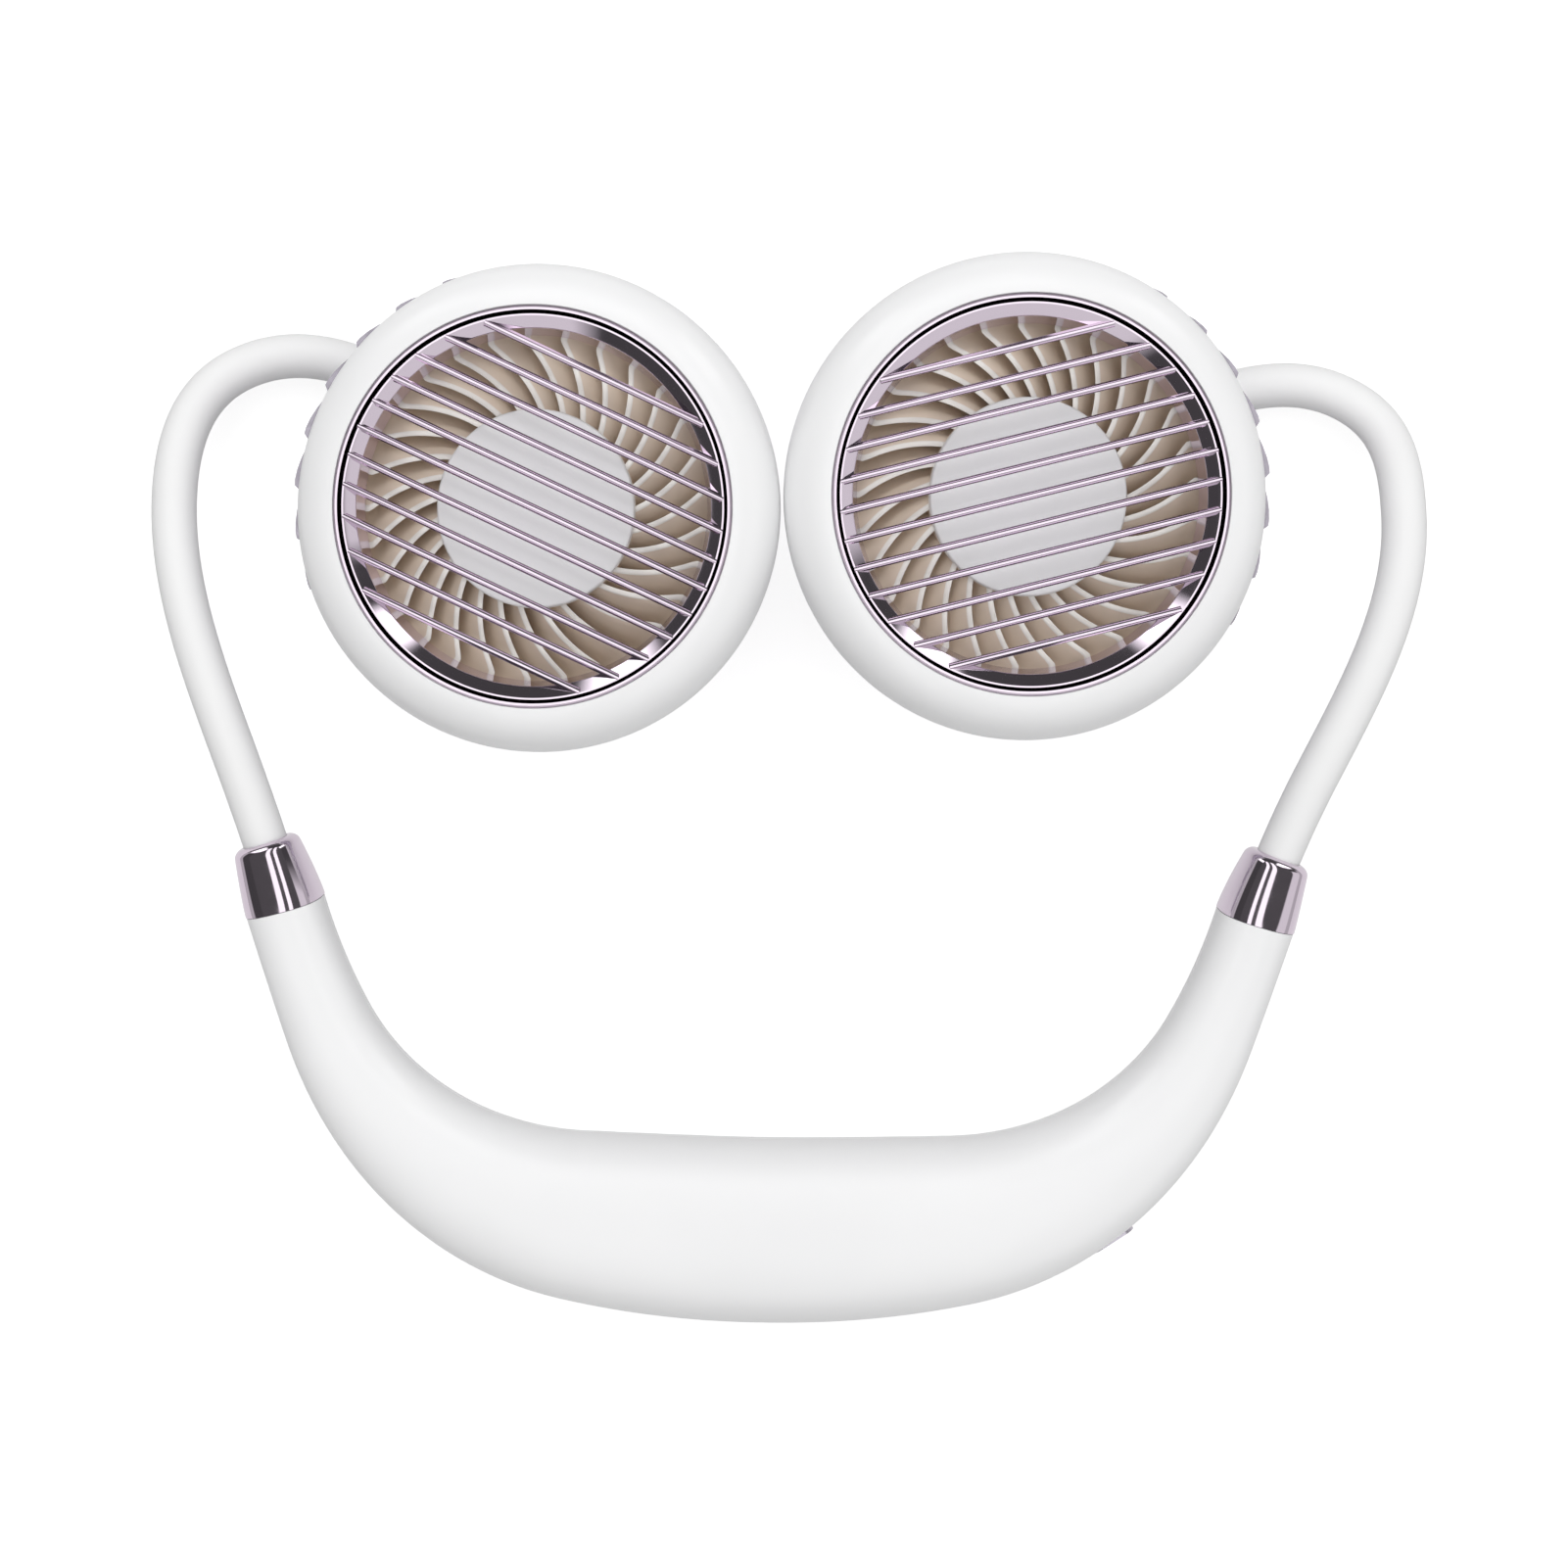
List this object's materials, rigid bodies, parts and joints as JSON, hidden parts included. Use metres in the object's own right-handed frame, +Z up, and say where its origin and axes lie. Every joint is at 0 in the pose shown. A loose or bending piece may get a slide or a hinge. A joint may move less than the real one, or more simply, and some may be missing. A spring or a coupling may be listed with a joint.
{
  "type": "neck fan",
  "caption": "Wearable neck fan: hollow neckband, two flexible arms and two round fan heads with plated bar grilles over swept-blade rotors.",
  "frame": {"origin": "middle of the footprint, on the surface that the fan lies on", "axes": "+X to the right along the back of the neckband, +Y from the neckband to the heads, +Z up through the grilles"},
  "size_m": [0.2152, 0.1778, 0.0388],
  "materials": {
    "shell_white": "fine satin moulded plastic",
    "sleeve_white": "soft matte silicone",
    "chrome_lilac": "lilac plated, mirror bright",
    "cover_lilac": "pearl lilac moulded plastic",
    "blade_cream": "satin moulded plastic",
    "hub_white": "cool white, slightly glossy",
    "frame_cream": "satin moulded plastic",
    "motor_can": "drawn can, satin",
    "steel": "plain bright steel",
    "cell_wrap": "shrink wrapped cell",
    "board_green": "solder resist",
    "switch_dark": "moulded plastic",
    "lens_clear": "clear moulded light guide"
  },
  "bodies": {
    "band": {"band_top_shell": "shell_white", "band_bottom_shell": "shell_white", "band_screws": "steel", "battery_cell": "cell_wrap", "control_board": "board_green", "charging_port": "steel", "power_switch": "switch_dark", "indicator_lens": "lens_clear", "arm_left_ferrule": "chrome_lilac", "arm_left_anchor": "steel", "arm_left_sleeve_root": "sleeve_white", "arm_left_spine_root": "steel", "arm_right_ferrule": "chrome_lilac", "arm_right_anchor": "steel", "arm_right_sleeve_root": "sleeve_white", "arm_right_spine_root": "steel"},
    "power_button": {"power_button": "cover_lilac"},
    "arm_left_lower": {"arm_left_sleeve_lower": "sleeve_white", "arm_left_spine_lower": "steel"},
    "arm_left_upper": {"arm_left_sleeve_upper": "sleeve_white", "arm_left_spine_upper": "steel"},
    "head_left": {"arm_left_sleeve_tip": "sleeve_white", "arm_left_spine_tip": "steel", "head_left_bezel": "shell_white", "head_left_grille": "chrome_lilac", "head_left_rear_cover": "cover_lilac", "head_left_fan_frame": "frame_cream", "head_left_motor": "motor_can", "head_left_screws": "steel"},
    "fan_left": {"head_left_rotor": "blade_cream", "head_left_hub_cap": "hub_white", "head_left_shaft": "steel"},
    "arm_right_lower": {"arm_right_sleeve_lower": "sleeve_white", "arm_right_spine_lower": "steel"},
    "arm_right_upper": {"arm_right_sleeve_upper": "sleeve_white", "arm_right_spine_upper": "steel"},
    "head_right": {"arm_right_sleeve_tip": "sleeve_white", "arm_right_spine_tip": "steel", "head_right_bezel": "shell_white", "head_right_grille": "chrome_lilac", "head_right_rear_cover": "cover_lilac", "head_right_fan_frame": "frame_cream", "head_right_motor": "motor_can", "head_right_screws": "steel"},
    "fan_right": {"head_right_rotor": "blade_cream", "head_right_hub_cap": "hub_white", "head_right_shaft": "steel"}
  },
  "joints": [
    {"name": "arm_left_swing", "type": "hinge", "parent": "band", "child": "arm_left_lower", "pos_m": [-0.09287, 0.00713, 0.019], "axis": [0, 0, 1], "range_deg": [0, 35], "deforming": ["arm_left_sleeve_lower"]},
    {"name": "arm_left_lift", "type": "hinge", "parent": "arm_left_lower", "child": "arm_left_upper", "pos_m": [-0.10388, 0.051, 0.015], "axis": [1, 0, 0], "range_deg": [-40, 45], "deforming": ["arm_left_sleeve_upper"]},
    {"name": "head_left_turn", "type": "hinge", "parent": "arm_left_upper", "child": "head_left", "pos_m": [-0.09468, 0.0735, 0.0069], "axis": [0.4695, -0.8829, 0], "range_deg": [0, 50], "deforming": ["arm_left_sleeve_tip"]},
    {"name": "fan_left_spin", "type": "hinge", "parent": "head_left", "child": "fan_left", "pos_m": [-0.04076, 0.04778, 0.01853], "axis": [-0.0435, -0.061, 0.9972], "continuous": true},
    {"name": "arm_right_swing", "type": "hinge", "parent": "band", "child": "arm_right_lower", "pos_m": [0.08849, 0.00399, 0.019], "axis": [0, 0, -1], "range_deg": [0, 35], "deforming": ["arm_right_sleeve_lower"]},
    {"name": "arm_right_lift", "type": "hinge", "parent": "arm_right_lower", "child": "arm_right_upper", "pos_m": [0.10387, 0.04745, 0.015], "axis": [1, 0, 0], "range_deg": [-40, 45], "deforming": ["arm_right_sleeve_upper"]},
    {"name": "head_right_turn", "type": "hinge", "parent": "arm_right_upper", "child": "head_right", "pos_m": [0.09797, 0.06705, 0.0069], "axis": [0.5878, 0.809, 0], "range_deg": [0, 50], "deforming": ["arm_right_sleeve_tip"]},
    {"name": "fan_right_spin", "type": "hinge", "parent": "head_right", "child": "fan_right", "pos_m": [0.03835, 0.04973, 0.01853], "axis": [0.0435, -0.061, 0.9972], "continuous": true},
    {"name": "power_button_press", "type": "slide", "parent": "band", "child": "power_button", "axis": [-0.5419, 0.8405, 0], "range_m": [0, 0.0008], "stiffness_N_per_m": 300, "springref_m": -0.002}
  ]
}
